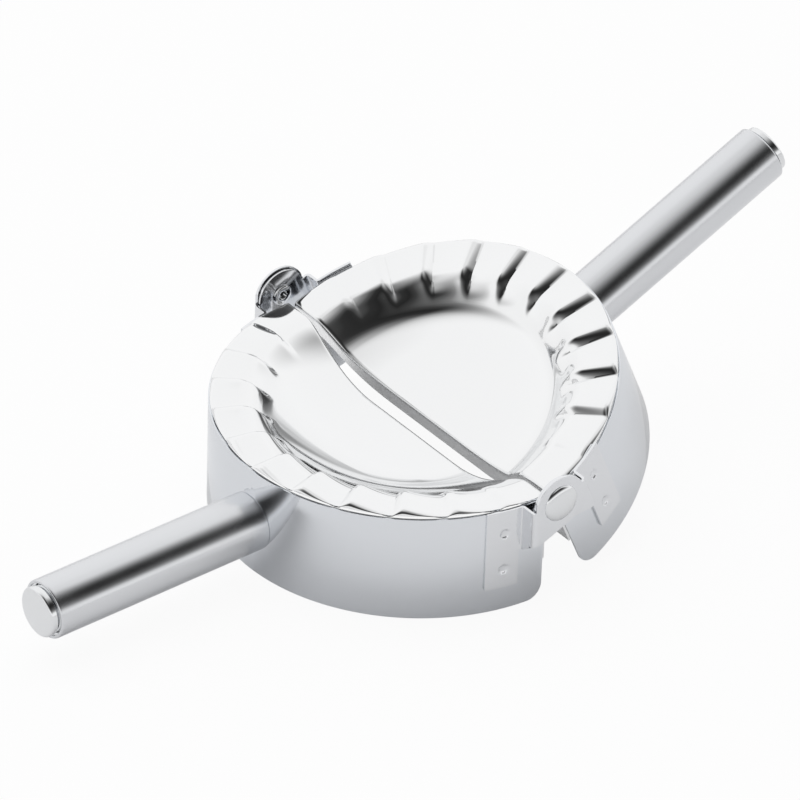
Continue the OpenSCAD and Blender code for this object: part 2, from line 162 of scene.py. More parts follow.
def set_camera():
    """The photograph's own view: a long lens from the front left, a little above the press."""
    back = Vector((sin(VIEW_TURN) * cos(VIEW_HEIGHT), -cos(VIEW_TURN) * cos(VIEW_HEIGHT), sin(VIEW_HEIGHT)))
    level = Vector((cos(VIEW_TURN), sin(VIEW_TURN), 0))
    upright = back.cross(level)
    right = level * cos(VIEW_ROLL) + upright * sin(VIEW_ROLL)
    up = upright * cos(VIEW_ROLL) - level * sin(VIEW_ROLL)
    data = bpy.data.cameras.new("photo_camera")
    data.sensor_width = 36.0
    data.lens = data.sensor_width * FOCAL_SHARE
    data.clip_start = 0.05
    data.clip_end = 60.0
    camera = bpy.data.objects.new("photo_camera", data)
    bpy.context.scene.collection.objects.link(camera)
    camera.matrix_world = Matrix((right, up, back)).transposed().to_4x4()
    camera.location = VIEW_TARGET + back * VIEW_DISTANCE
    bpy.context.scene.camera = camera


def add_ramp(nodes, stops):
    """A colour ramp node with grey stops, each given as its place and its level."""
    node = nodes.new("ShaderNodeValToRGB")
    ramp = node.color_ramp
    ramp.elements[0].position = stops[0][0]
    ramp.elements[1].position = stops[-1][0]
    for at, grey in stops[1:-1]:
        ramp.elements.new(at)
    for stop, (at, grey) in zip(ramp.elements, stops):
        stop.color = (grey, grey, grey, 1)
    return node


def set_world():
    """A white studio: bright behind, beside and low in front, with a dark band on the camera's side."""
    world = bpy.data.worlds.new("studio")
    bpy.context.scene.world = world
    world.use_nodes = True
    nodes, links = world.node_tree.nodes, world.node_tree.links
    nodes.clear()
    out = nodes.new("ShaderNodeOutputWorld")
    white = nodes.new("ShaderNodeBackground")
    white.inputs["Color"].default_value = (1, 1, 1, 1)
    white.inputs["Strength"].default_value = 1.0
    room = nodes.new("ShaderNodeBackground")
    mix = nodes.new("ShaderNodeMixShader")
    rays = nodes.new("ShaderNodeLightPath")
    place = nodes.new("ShaderNodeTexCoord")
    split = nodes.new("ShaderNodeSeparateXYZ")
    links.new(place.outputs["Generated"], split.inputs["Vector"])
    # Up the dark side: white sweep, soft step into the dark, and a slow return to the pale ceiling
    height = add_ramp(nodes, DARK_GREYS)
    links.new(split.outputs["Z"], height.inputs["Fac"])
    # Round the horizon: how much of that side a direction has
    flat = nodes.new("ShaderNodeVectorMath")
    flat.operation = "MULTIPLY"
    flat.inputs[1].default_value = (1, 1, 0)
    links.new(place.outputs["Generated"], flat.inputs[0])
    level = nodes.new("ShaderNodeVectorMath")
    level.operation = "NORMALIZE"
    links.new(flat.outputs["Vector"], level.inputs[0])
    aim = nodes.new("ShaderNodeVectorMath")
    aim.operation = "DOT_PRODUCT"
    aim.inputs[1].default_value = (cos(DARK_SIDE), sin(DARK_SIDE), 0.0)
    links.new(level.outputs["Vector"], aim.inputs[0])
    side = nodes.new("ShaderNodeMapRange")
    side.interpolation_type = "SMOOTHSTEP"
    side.inputs["From Min"].default_value = SIDE_START
    side.inputs["From Max"].default_value = SIDE_FULL
    links.new(aim.outputs["Value"], side.inputs["Value"])
    bright = add_ramp(nodes, BRIGHT_GREYS)
    links.new(split.outputs["Z"], bright.inputs["Fac"])
    both = nodes.new("ShaderNodeMix")
    both.data_type = "RGBA"
    links.new(side.outputs["Result"], both.inputs["Factor"])
    links.new(bright.outputs["Color"], both.inputs[6])
    links.new(height.outputs["Color"], both.inputs[7])
    links.new(both.outputs[2], room.inputs["Color"])
    room.inputs["Strength"].default_value = 1.0
    links.new(rays.outputs["Is Camera Ray"], mix.inputs["Fac"])
    links.new(room.outputs["Background"], mix.inputs[1])
    links.new(white.outputs["Background"], mix.inputs[2])
    links.new(mix.outputs["Shader"], out.inputs["Surface"])


def set_floor():
    """A white sweep that keeps the press's soft shadow, bleached towards white for the camera."""
    bpy.ops.mesh.primitive_plane_add(size=FLOOR_SIZE, location=(0, 0, -FLOOR_DROP))
    floor = bpy.context.object
    floor.name = "floor"
    paint = bpy.data.materials.new("floor_white")
    paint.use_nodes = True
    nodes, links = paint.node_tree.nodes, paint.node_tree.links
    shader = nodes["Principled BSDF"]
    shader.inputs["Base Color"].default_value = (0.9, 0.9, 0.905, 1)
    shader.inputs["Roughness"].default_value = 0.9
    shader.inputs["Specular IOR Level"].default_value = 0.1
    bleach = nodes.new("ShaderNodeEmission")
    bleach.inputs["Color"].default_value = (1, 1, 1, 1)
    bleach.inputs["Strength"].default_value = 1.0
    rays = nodes.new("ShaderNodeLightPath")
    # Bleached most for the camera and in part for the metal's reflections, so that the shadow stays
    mirrored = nodes.new("ShaderNodeMath")
    mirrored.operation = "MULTIPLY"
    mirrored.inputs[1].default_value = MIRROR_BLEACH
    links.new(rays.outputs["Is Glossy Ray"], mirrored.inputs[0])
    amount = nodes.new("ShaderNodeMath")
    amount.operation = "MULTIPLY_ADD"
    amount.inputs[1].default_value = CAMERA_BLEACH
    links.new(rays.outputs["Is Camera Ray"], amount.inputs[0])
    links.new(mirrored.outputs["Value"], amount.inputs[2])
    mix = nodes.new("ShaderNodeMixShader")
    links.new(amount.outputs["Value"], mix.inputs["Fac"])
    links.new(shader.outputs["BSDF"], mix.inputs[1])
    links.new(bleach.outputs["Emission"], mix.inputs[2])
    links.new(mix.outputs["Shader"], nodes["Material Output"].inputs["Surface"])
    floor.data.materials.append(paint)


def set_lights():
    """One wide lamp overhead for the floor's soft shadow; the metal mirrors only the studio."""
    data = bpy.data.lights.new("overhead_softbox", "AREA")
    data.shape = "RECTANGLE"
    data.size = data.size_y = LAMP_SIZE
    data.energy = LAMP_POWER
    lamp = bpy.data.objects.new("overhead_softbox", data)
    bpy.context.scene.collection.objects.link(lamp)
    lamp.location = LAMP_PLACE
    lamp.rotation_euler = (-lamp.location).to_track_quat("-Z", "Y").to_euler()
    lamp.visible_glossy = False


# Finishes

def steel(name, colour, roughness, grain=None, strength=0.0):
    """Bare stainless steel: a metal with faint smears, and fine brush lines where grain is given."""
    finish = bpy.data.materials.new(name)
    finish.use_nodes = True
    nodes, links = finish.node_tree.nodes, finish.node_tree.links
    shader = nodes["Principled BSDF"]
    shader.inputs["Metallic"].default_value = 1.0
    shader.inputs["Base Color"].default_value = (*colour, 1)
    place = nodes.new("ShaderNodeTexCoord")
    smear = nodes.new("ShaderNodeTexNoise")
    smear.inputs["Scale"].default_value = 38.0
    smear.inputs["Detail"].default_value = 3.0
    links.new(place.outputs["Object"], smear.inputs["Vector"])
    spread = nodes.new("ShaderNodeMapRange")
    spread.inputs["From Min"].default_value = 0.3
    spread.inputs["From Max"].default_value = 0.7
    spread.inputs["To Min"].default_value = roughness * 0.8
    spread.inputs["To Max"].default_value = roughness * 1.25
    links.new(smear.outputs["Fac"], spread.inputs["Value"])
    links.new(spread.outputs["Result"], shader.inputs["Roughness"])
    if grain:
        turned = nodes.new("ShaderNodeMapping")
        turned.inputs["Rotation"].default_value = grain[0]
        turned.inputs["Scale"].default_value = grain[1]
        links.new(place.outputs["Object"], turned.inputs["Vector"])
        lines = nodes.new("ShaderNodeTexNoise")
        lines.inputs["Scale"].default_value = 1.0
        lines.inputs["Detail"].default_value = 4.0
        lines.inputs["Roughness"].default_value = 0.7
        links.new(turned.outputs["Vector"], lines.inputs["Vector"])
        bump = nodes.new("ShaderNodeBump")
        bump.inputs["Strength"].default_value = strength
        bump.inputs["Distance"].default_value = 0.02 * MM
        links.new(lines.outputs["Fac"], bump.inputs["Height"])
        links.new(bump.outputs["Normal"], shader.inputs["Normal"])
    return finish


def dress(node, finish):
    """Gives a CAD node its finish."""
    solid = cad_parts[node]
    solid.data.materials.clear()
    solid.data.materials.append(finish)


# Workshop helpers

def start_fresh():
    """Leaves edit mode and deselects everything, so that a new piece is made on its own."""
    if bpy.context.object and bpy.context.object.mode != "OBJECT":
        bpy.ops.object.mode_set(mode="OBJECT")
    bpy.ops.object.select_all(action="DESELECT")


def open_edit(name):
    """Names the new primitive and opens it in edit mode."""
    piece = bpy.context.object
    piece.name = name
    piece.data.name = name
    bpy.ops.object.mode_set(mode="EDIT")
    bpy.ops.mesh.select_mode(type="VERT")
    return piece


def pick(kind, test):
    """Selects the points, edges or faces of the piece in edit mode that pass a test, and nothing else."""
    mesh = bpy.context.object.data
    bpy.ops.mesh.select_mode(type={"verts": "VERT", "edges": "EDGE", "faces": "FACE"}[kind])
    bpy.ops.mesh.select_all(action="DESELECT")
    form = bmesh.from_edit_mesh(mesh)
    for item in getattr(form, kind):
        if test(item):
            item.select_set(True)
    form.select_flush_mode()
    bmesh.update_edit_mesh(mesh)


def pick_points(test):
    """Selects the points whose place passes a test."""
    pick("verts", lambda v: test(v.co))


def pick_numbered(numbers):
    """Selects points by their numbers, which stay the same while a piece is only bent."""
    mesh = bpy.context.object.data
    bpy.ops.mesh.select_all(action="DESELECT")
    form = bmesh.from_edit_mesh(mesh)
    form.verts.ensure_lookup_table()
    for number in numbers:
        form.verts[number].select = True
    form.select_flush_mode()
    bmesh.update_edit_mesh(mesh)


def move(x=0.0, y=0.0, z=0.0):
    """Moves what is selected."""
    bpy.ops.transform.translate(value=(x, y, z))


def stretch(value, centre):
    """Scales what is selected about a centre."""
    bpy.ops.transform.resize(value=value, center_override=centre)


def pull_out(x=0.0, y=0.0, z=0.0):
    """Extrudes what is selected and moves the new part."""
    bpy.ops.mesh.extrude_region_move(TRANSFORM_OT_translate={"value": (x, y, z)})


def apply_all(piece):
    """Applies the piece's modifiers in their order."""
    start_fresh()
    piece.select_set(True)
    bpy.context.view_layer.objects.active = piece
    for modifier in list(piece.modifiers):
        bpy.ops.object.modifier_apply(modifier=modifier.name)


def finish_piece(piece, finish, body, nodes, smooth=30.0):
    """Smooth shading, the finish, the body that carries the piece and the nodes that it stands for."""
    start_fresh()
    piece.select_set(True)
    bpy.context.view_layer.objects.active = piece
    bpy.ops.object.shade_smooth_by_angle(angle=radians(smooth))
    piece.data.materials.clear()
    piece.data.materials.append(finish)
    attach(piece, body)
    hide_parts(*nodes)


def lift():
    """Turns all of the piece in edit mode about the hinge line, up to the raised half's place."""
    bpy.ops.mesh.select_all(action="SELECT")
    bpy.ops.transform.rotate(value=RAISE, orient_axis="Y", center_override=(0, 0, HINGE_H))


# Press plates

def blend(t):
    """A smooth step from 0 to 1."""
    t = min(1.0, max(0.0, t))
    return t * t * (3 - 2 * t)


def fold_height(u):
    """Height of a fold from one crease (0) to the next (1): a steep rise, then a long bowed ramp down."""
    if u < STEEP:
        return sin(pi / 2 * u / STEEP)
    return max(0.0, 1 - (u - STEEP) / (1 - STEEP)) ** RAMP_BOW


def crease_share(i):
    """How much of the full pleat height a crease has: the outermost ones are shallow."""
    k = min(i, PLEATS + 1 - i)
    return 0.0 if k <= 0 else OUTER_SHARE if k == 1 else NEXT_SHARE if k == 2 else 1.0


def fold_at(angle, right):
    """How far the sheet stands off its plain form at an angle from the back, in metres."""
    place = angle / PITCH
    panel = min(int(place + 1e-6), PLEATS)
    u = place - panel
    share = crease_share(panel) + (crease_share(panel + 1) - crease_share(panel)) * u
    shape = fold_height(u) if not right else fold_height(1 - u) - 1
    return PLEAT_H * share * shape


def grown(r, right):
    """How far the folds have grown at a radius, from the bowl's wall outwards."""
    if right:
        return blend((r - RIGHT_SHOULDER_R + RIGHT_GROW_START) / RIGHT_GROW_W)
    return blend((r - SHOULDER_R + LEFT_GROW_START) / LEFT_GROW_W)


def kept(r, edge_share):
    """How much of the folds is left at a radius, falling evenly from the shoulder to the edge."""
    return 1 + (edge_share - 1) * max(0.0, r - SHOULDER_R) / (RIM_R - SHOULDER_R)


def rolled(r, width):
    """A quarter round at the edge: 1 where it starts, 0 at the edge itself."""
    return sqrt(max(0.0, 1 - (max(0.0, r - RIM_R + width) / width) ** 2))


def soft_min(a, b, width):
    """The smaller of two heights, with a round of this width where they meet."""
    d = max(0.0, width - abs(a - b)) / width
    return min(a, b) - d * d * width / 4


def left_bowl(r):
    """Height of the left bowl: a flat floor and a wall that steepens up to the shoulder."""
    t = max(0.0, (r - FLOOR_R) / (SHOULDER_R - FLOOR_R))
    return BOWL_FLOOR + (LEFT_TOP - BOWL_FLOOR) * t * t


def right_bowl(r):
    """Height of the right bowl: a dished floor, a round and a straight wall."""
    low = BOWL_FLOOR + RIGHT_LESS
    if r < RIGHT_DISH_R:
        return low + DISH_RISE * (r / RIGHT_DISH_R) ** DISH_POWER
    first = DISH_RISE * DISH_POWER / RIGHT_DISH_R
    left_over = RIGHT_TOP - low - DISH_RISE - RIGHT_SLOPE * (RIGHT_SHOULDER_R - RIGHT_DISH_R)
    round_w = left_over / ((first - RIGHT_SLOPE) / 2)
    out = r - RIGHT_DISH_R
    on = min(out, round_w)
    steeper = (RIGHT_SLOPE - first) * on * on / (2 * round_w)
    return low + DISH_RISE + first * on + steeper + RIGHT_SLOPE * (out - on)


def bowl_height(r, right):
    """Height of the plain form: the bowl, its rounded shoulder and the flat rim."""
    if right:
        return soft_min(right_bowl(r), RIGHT_TOP + 0.1 * MM, RIGHT_SHOULDER_ROUND)
    return soft_min(left_bowl(r), LEFT_TOP + 0.1 * MM, LEFT_SHOULDER_ROUND)


# Rings of points from the edge to the middle, close together where the sheet bends
RING_RADII = [r * MM for r in (
    60.6, 60.54, 60.36, 60.05, 59.65, 59.2, 58.75, 58.1, 56.8, 55.4, 53.9, 52.4, 51.2, 50.8,
    49.9, 49.1, 48.3, 47.5, 46.7, 45.9, 45.1, 44.3, 43.4, 42.4, 41.2, 40,
    38.6, 37, 35, 32.5, 29.5, 26.5, 23, 20, 15, 10, 5)]


def press_plate(name, right, finish, body, nodes):
    """A half bowl with a pleated rim, rolled over along the dividing edge into a lip with end tabs."""
    side = 1.0 if right else -1.0
    right_edge = RIGHT_TOP - PLEAT_H * RIGHT_EDGE_SHARE
    edge_share = RIGHT_EDGE_SHARE if right else LEFT_EDGE_SHARE
    start_fresh()
    rim_h = bowl_height(RIM_R, right)
    bpy.ops.mesh.primitive_circle_add(vertices=FINE_ROUND, radius=RIM_R, location=(0, 0, rim_h))
    bpy.ops.object.transform_apply(location=True, rotation=True, scale=True)
    piece = open_edit(name)
    pick_points(lambda p: p.x * side < -0.01 * MM)
    bpy.ops.mesh.delete(type="VERT")
    # The sheet, ring by ring from the rim down to the middle of the bowl
    bpy.ops.mesh.select_all(action="SELECT")
    for outer, inner in zip(RING_RADII, RING_RADII[1:]):
        pull_out(z=bowl_height(inner, right) - bowl_height(outer, right))
        stretch((inner / outer, inner / outer, 1), (0, 0, 0))
    pull_out(z=bowl_height(0, right) - bowl_height(RING_RADII[-1], right))
    bpy.ops.mesh.merge(type="CENTER")
    stretch((0, 0, 1), (0, 0, 0))
    form = bmesh.from_edit_mesh(piece.data)
    columns, rings = {}, {}
    for point in form.verts:
        if point.co.xy.length > 1 * MM:
            angle = round(degrees(atan2(point.co.x * side, point.co.y)))
            columns.setdefault(angle, []).append(point.index)
            rings.setdefault(round(point.co.xy.length / MM, 2), []).append(point.index)
    # The folds, column by column
    bpy.ops.mesh.select_mode(type="VERT")
    for degree, numbers in sorted(columns.items()):
        rise = fold_at(degree, right)
        if abs(rise) > 1e-9:
            pick_numbered(numbers)
            move(z=rise)
    # Each ring keeps only its own share of the folds, and the edge rolls down to the half ring
    for r in RING_RADII:
        share = grown(r, right) * kept(r, edge_share)
        if not right:
            share *= rolled(r, LEFT_ROLL_W)
        pick_numbered(rings[round(r / MM, 2)])
        stretch((1, 1, share), (0, 0, bowl_height(r, right)))
        if right and r > RIM_R - RIGHT_ROLL_W:
            stretch((1, 1, rolled(r, RIGHT_ROLL_W)), (0, 0, right_edge))
    # The creases between the folds stay sharp out on the rim
    valley_r = RIGHT_VALLEY_R if right else LEFT_VALLEY_R
    valleys = {n for d, numbers in columns.items() if d % PITCH == 0 and 0 < d < 180 for n in numbers}
    valleys -= {n for r, numbers in rings.items() if r * MM < valley_r for n in numbers}
    pick("edges", lambda e: all(v.index in valleys for v in e.verts))
    bpy.ops.transform.edge_crease(value=VALLEY_CREASE)
    # The dividing edge: the sheet is cut off beside the hinge line and rolls over into the lip
    edge_x = side * (PART_GAP + BEND_R)
    bpy.ops.mesh.select_all(action="SELECT")
    bpy.ops.mesh.bisect(plane_co=(edge_x, 0, 0), plane_no=(-side, 0, 0), clear_outer=True, threshold=1e-7)
    pick("edges", lambda e: all(abs(v.co.x - edge_x) < 0.001 * MM for v in e.verts))
    for step in range(BEND_STEPS):
        a, b = pi / 2 * step / BEND_STEPS, pi / 2 * (step + 1) / BEND_STEPS
        pull_out(x=side * BEND_R * (sin(a) - sin(b)), z=BEND_R * (cos(b) - cos(a)))
    for down in (0.4, 1.6):
        pull_out(z=-down * MM)
    form = bmesh.from_edit_mesh(piece.data)
    lower = [(v.index, v.co.y, v.co.z) for v in form.verts if v.select]
    bpy.ops.mesh.select_mode(type="VERT")
    for number, y, z in lower:
        if abs(y) > TAB_R:
            goal = TAB_LOW
        else:
            spread = LIP_SPREAD * blend((abs(y) - FLOOR_R) / LIP_SPREAD_W)
            goal = bowl_height(abs(y), False) - LIP_W * (1 + spread)
        pick_numbered([number])
        move(z=goal - z)
    bpy.ops.mesh.select_all(action="SELECT")
    bpy.ops.mesh.normals_make_consistent(inside=False)
    form = bmesh.from_edit_mesh(piece.data)
    level_faces = [f for f in form.faces
                   if f.calc_center_median().xy.length < 12 * MM and abs(f.normal.z) > 0.9]
    bowl_floor = min(level_faces, key=lambda f: abs(f.calc_center_median().z - BOWL_FLOOR))
    if bowl_floor.normal.z < 0:
        bpy.ops.mesh.flip_normals()
    if right:
        lift()
    bpy.ops.object.mode_set(mode="OBJECT")
    wall = piece.modifiers.new("wall", "SOLIDIFY")
    wall.thickness = PLATE_WALL
    wall.offset = -1.0
    wall.edge_crease_rim = wall.edge_crease_inner = wall.edge_crease_outer = SHEET_CREASE
    soft = piece.modifiers.new("smooth_sheet", "SUBSURF")
    soft.use_limit_surface = False
    soft.levels = soft.render_levels = 1
    apply_all(piece)
    finish_piece(piece, finish, body, nodes, smooth=50.0)


# Ring walls, leaves and turned pieces

def cut(plane_at, outwards, test=None, fill=False):
    """Cuts off what lies outside a plane, of the whole piece or only of the faces that pass a test."""
    if test:
        pick("faces", lambda f: test(f.calc_center_median()))
    else:
        bpy.ops.mesh.select_all(action="SELECT")
    bpy.ops.mesh.bisect(plane_co=plane_at, plane_no=outwards, clear_outer=True, use_fill=fill, threshold=1e-7)


def drill(piece, radius, middle, direction, length):
    """Cuts a round hole right through a finished wall."""
    start_fresh()
    turn = Vector(direction).to_track_quat("Z", "Y").to_euler()
    bpy.ops.mesh.primitive_cylinder_add(vertices=48, radius=radius, depth=length,
                                        location=middle, rotation=turn)
    bit = bpy.context.object
    hole = piece.modifiers.new("hole", "BOOLEAN")
    hole.operation = "DIFFERENCE"
    hole.object = bit
    apply_all(piece)
    start_fresh()
    bit.select_set(True)
    bpy.ops.object.delete()


def soften(piece, width):
    """Takes the sharpness off a piece's edges."""
    edge = piece.modifiers.new("soft_edges", "BEVEL")
    edge.width = width
    edge.segments = 2
    edge.limit_method = "ANGLE"
    edge.angle_limit = radians(40.0)
    edge.use_clamp_overlap = True
    apply_all(piece)


def twin(piece, name, across=1, along=1):
    """A mirrored copy of a piece, with its own mesh."""
    start_fresh()
    piece.select_set(True)
    bpy.context.view_layer.objects.active = piece
    bpy.ops.object.duplicate()
    copy = open_edit(name)
    bpy.ops.mesh.select_all(action="SELECT")
    stretch((across, along, 1), (0, 0, 0))
    bpy.ops.mesh.normals_make_consistent(inside=False)
    bpy.ops.object.mode_set(mode="OBJECT")
    return copy


def raise_up(piece):
    """Turns a finished piece up to the raised half's place."""
    start_fresh()
    piece.select_set(True)
    bpy.context.view_layer.objects.active = piece
    bpy.ops.object.mode_set(mode="EDIT")
    lift()
    bpy.ops.object.mode_set(mode="OBJECT")


def half_ring(name, right, height, finish, body, nodes):
    """A half ring wall with rounded lower corners at its ends and the hole for the handle's screw."""
    side = 1.0 if right else -1.0
    start_fresh()
    bpy.ops.mesh.primitive_circle_add(vertices=FINE_ROUND, radius=RING_R)
    piece = open_edit(name)
    pick_points(lambda p: p.x * side < -0.01 * MM)
    bpy.ops.mesh.delete(type="VERT")
    bpy.ops.mesh.select_all(action="SELECT")
    pull_out(z=height)
    bpy.ops.mesh.select_all(action="SELECT")
    bpy.ops.mesh.normals_make_consistent(inside=False)
    form = bmesh.from_edit_mesh(piece.data)
    form.faces.ensure_lookup_table()
    first = form.faces[0]
    if first.normal.dot(first.calc_center_median().xy.to_3d()) < 0:
        bpy.ops.mesh.flip_normals()
    bpy.ops.object.mode_set(mode="OBJECT")
    wall = piece.modifiers.new("wall", "SOLIDIFY")
    wall.thickness = RING_WALL
    wall.offset = -1.0
    apply_all(piece)
    bpy.ops.object.mode_set(mode="EDIT")
    cut((side * RING_END, 0, 0), (-side, 0, 0), fill=True)
    corner = Vector((side * (RING_END + CORNER_R), 0, CORNER_R))
    for step in range(CORNER_CUTS):
        a = pi / 2 * (step + 0.5) / CORNER_CUTS
        out = Vector((-side * cos(a), 0, -sin(a)))
        cut(corner + out * CORNER_R, out, fill=True)
    bpy.ops.object.mode_set(mode="OBJECT")
    drill(piece, SCREW_HOLE_R, (side * RING_R, 0, TUBE_H), (1, 0, 0), 6 * MM)
    soften(piece, RING_EDGE)
    if right:
        raise_up(piece)
    finish_piece(piece, finish, body, nodes)


def leaf_path(off, ear_mid):
    """The leaf's middle in plan, from its far end round the ring, out along the arm and across the ear."""
    middle = asin(off / LEAF_MID_R)
    far, near = middle + LEAF_W / 2 / LEAF_MID_R, middle - LEAF_W / 2 / LEAF_MID_R
    arm_x = LEAF_MID_R * sin(near)
    lead = FOLD_R * (1 / cos(near) - sin(near) / cos(near))
    last = near + lead / LEAF_MID_R
    arc = [(LEAF_MID_R * sin(a), LEAF_MID_R * cos(a)) for a in (far + (last - far) * k / 30 for k in range(31))]
    fold_x, fold_y = arm_x + FOLD_R, LEAF_MID_R * cos(near) - lead * sin(near) + FOLD_R * cos(near)
    fold = [(fold_x + FOLD_R * cos(a), fold_y + FOLD_R * sin(a))
            for a in (pi * 1.5 - near - (pi / 2 - near) * k / 6 for k in range(1, 7))]
    foot, top = fold[-1][1], ear_mid - EAR_BEND_R
    wall = [(arm_x, foot + (top - foot) * k / 5) for k in range(1, 6)]
    start, end = arm_x - EAR_BEND_R, -OUTER_EAR_R - 0.4 * MM
    bend = [(start + EAR_BEND_R * cos(a), top + EAR_BEND_R * sin(a))
            for a in (pi / 16 * k for k in range(1, 9))]
    ear = [(start + (end - start) * k / 24, ear_mid) for k in range(1, 25)]
    return arc, fold + wall + bend + ear, arm_x


def hinge_leaf(name, off, ear_mid, radius, hole):
    """A leaf on the +X side at the back: welded flat round the ring, with an arm out to its round ear."""
    arc, rest, arm_x = leaf_path(off, ear_mid)
    path = arc + rest
    tall = HINGE_H + OUTER_EAR_R + 0.5 * MM - LEAF_LOW
    start_fresh()
    bpy.ops.mesh.primitive_grid_add(x_subdivisions=1, y_subdivisions=96, size=2.0, rotation=(pi / 2, 0, 0),
                                    location=(0, 0, LEAF_LOW + tall / 2))
    bpy.ops.object.transform_apply(location=True, rotation=True, scale=True)
    piece = open_edit(name)
    bpy.ops.mesh.select_all(action="SELECT")
    stretch((1, 1, tall / 2.0), (0, 0, LEAF_LOW + tall / 2))
    pick_points(lambda p: p.x > 0)
    stretch((0, 1, 1), (0, 0, 0))
    move(x=path[0][0], y=path[0][1])
    pick_points(lambda p: p.x < -0.5)
    stretch((0, 1, 1), (0, 0, 0))
    move(x=path[1][0], y=path[1][1])
    for a, b in zip(path[1:], path[2:]):
        pull_out(x=b[0] - a[0], y=b[1] - a[1])
    # The sheet is cut to the leaf's outline
    arm_end_x, arm_end_y = arc[-1]
    ear_y = ear_mid - EAR_BEND_R
    cut((0, 0, LEAF_TOP), (0, 0, 1), lambda c: c.x > arm_end_x or c.y < ear_mid - LEAF_T / 2)
    cut((0, 0, ARM_LOW), (0, 0, -1), lambda c: c.x < arm_end_x and c.y > 0)
    climb = Vector((0, EAR_FOOT - ARM_LOW, -(ear_mid - RING_R - LEAF_T)))
    cut((0, RING_R + LEAF_T, ARM_LOW), climb, lambda c: c.x < arm_end_x and c.y > arm_end_y + 0.5 * MM)
    foot = Vector((arm_x * WEB_SHARE, 0, EAR_FOOT + WEB_RISE))
    meet = Vector((-radius * sin(WEB_MEETS), 0, HINGE_H - radius * cos(WEB_MEETS)))
    along = meet - foot
    cut(foot, Vector((-along.z, 0, along.x)), lambda c: c.y > ear_y)
    pick("faces", lambda f: f.calc_center_median().y > ear_y)
    bpy.ops.mesh.bisect(plane_co=(0, 0, LEAF_TOP), plane_no=(0, 0, 1), threshold=1e-7)
    for degree in range(-3, 250, 6):
        out = Vector((cos(radians(degree)), 0, sin(radians(degree))))
        above = LEAF_TOP if degree < 60 else 0.0
        cut(Vector((0, 0, HINGE_H)) + out * radius, out, lambda c: c.y > ear_y and c.z > above)
    # Two shallow spot-weld dents in the flat part, each with a faint raised ring round it
    middle = asin(off / LEAF_MID_R)
    for share in WELD_SHARES:
        dent = Vector((LEAF_MID_R * sin(middle), LEAF_MID_R * cos(middle), LEAF_LOW + LEAF_H * share))
        for reach, depth in WELD_RINGS:
            pick_points(lambda p: (p - dent).length < reach * MM and p.x > arm_end_x)
            move(x=-depth * MM * sin(middle), y=-depth * MM * cos(middle))
    bpy.ops.mesh.select_all(action="SELECT")
    bpy.ops.mesh.remove_doubles(threshold=0.02 * MM)
    bpy.ops.mesh.normals_make_consistent(inside=False)
    bpy.ops.object.mode_set(mode="OBJECT")
    wall = piece.modifiers.new("wall", "SOLIDIFY")
    wall.thickness = LEAF_T
    wall.offset = 0.0
    apply_all(piece)
    drill(piece, hole, (0, ear_mid, HINGE_H), (0, 1, 0), 4 * MM)
    soften(piece, LEAF_EDGE)
    return piece


def turned(name, profile, axis, place, points=96, closed=True):
    """A turned piece: a circle drawn through a profile of radii and distances along the axis."""
    line = Vector((1, 0, 0)) if axis == "X" else Vector((0, 1, 0))
    flat = (0, pi / 2, 0) if axis == "X" else (pi / 2, 0, 0)
    place = Vector(place)
    start_fresh()
    r, at = profile[0]
    bpy.ops.mesh.primitive_circle_add(vertices=points, radius=r, location=place + line * at, rotation=flat)
    bpy.ops.object.transform_apply(location=True, rotation=True, scale=True)
    piece = open_edit(name)
    bpy.ops.mesh.select_all(action="SELECT")
    if closed:
        pull_out()
        bpy.ops.mesh.merge(type="CENTER")
        pick_points(lambda p: (p - place - line * at).length > r * 0.9)
    for (r0, at0), (r1, at1) in zip(profile, profile[1:]):
        pull_out(*(line * (at1 - at0)))
        if r1 > 0:
            stretch((1, r1 / r0, r1 / r0) if axis == "X" else (r1 / r0, 1, r1 / r0), place + line * at1)
        else:
            bpy.ops.mesh.merge(type="CENTER")
    bpy.ops.mesh.select_all(action="SELECT")
    bpy.ops.mesh.remove_doubles(threshold=0.001 * MM)
    bpy.ops.mesh.normals_make_consistent(inside=False)
    return piece


def handle_tube(name):
    """A tube with its end cut to the ring and both ends eased."""
    near_end = ((8.0, 0), (8.8, 0), (8.92, 0.05), (8.98, 0.14), (9.0, 0.3), (9.0, 1.5))
    far_end = ((9.0, 0.8), (8.97, 0.52), (8.88, 0.28), (8.74, 0.1),
               (8.55, 0.02), (8.3, 0), (8.1, 0.05), (8.0, 0.2))
    bore = ((8.0, 1.5), (8.0, 0))
    profile = [(r * MM, at * MM) for r, at in near_end]
    profile += [(r * MM, TUBE_LEN - at * MM) for r, at in far_end]
    profile += [(r * MM, at * MM) for r, at in bore]
    piece = turned(name, profile, "X", (TUBE_FOOT, 0, TUBE_H), points=128, closed=False)
    # The ring's end, cut to the ring's curve
    form = bmesh.from_edit_mesh(piece.data)
    across = sorted({round(abs(v.co.y) / MM, 3) for v in form.verts if v.co.x < TUBE_FOOT + 2 * MM})
    for y in across:
        pick_points(lambda p: p.x < TUBE_FOOT + 2 * MM and abs(abs(p.y) / MM - y) < 0.0006)
        move(x=sqrt(TUBE_FOOT * TUBE_FOOT - (y * MM) ** 2) - TUBE_FOOT)
    bpy.ops.object.mode_set(mode="OBJECT")
    return piece


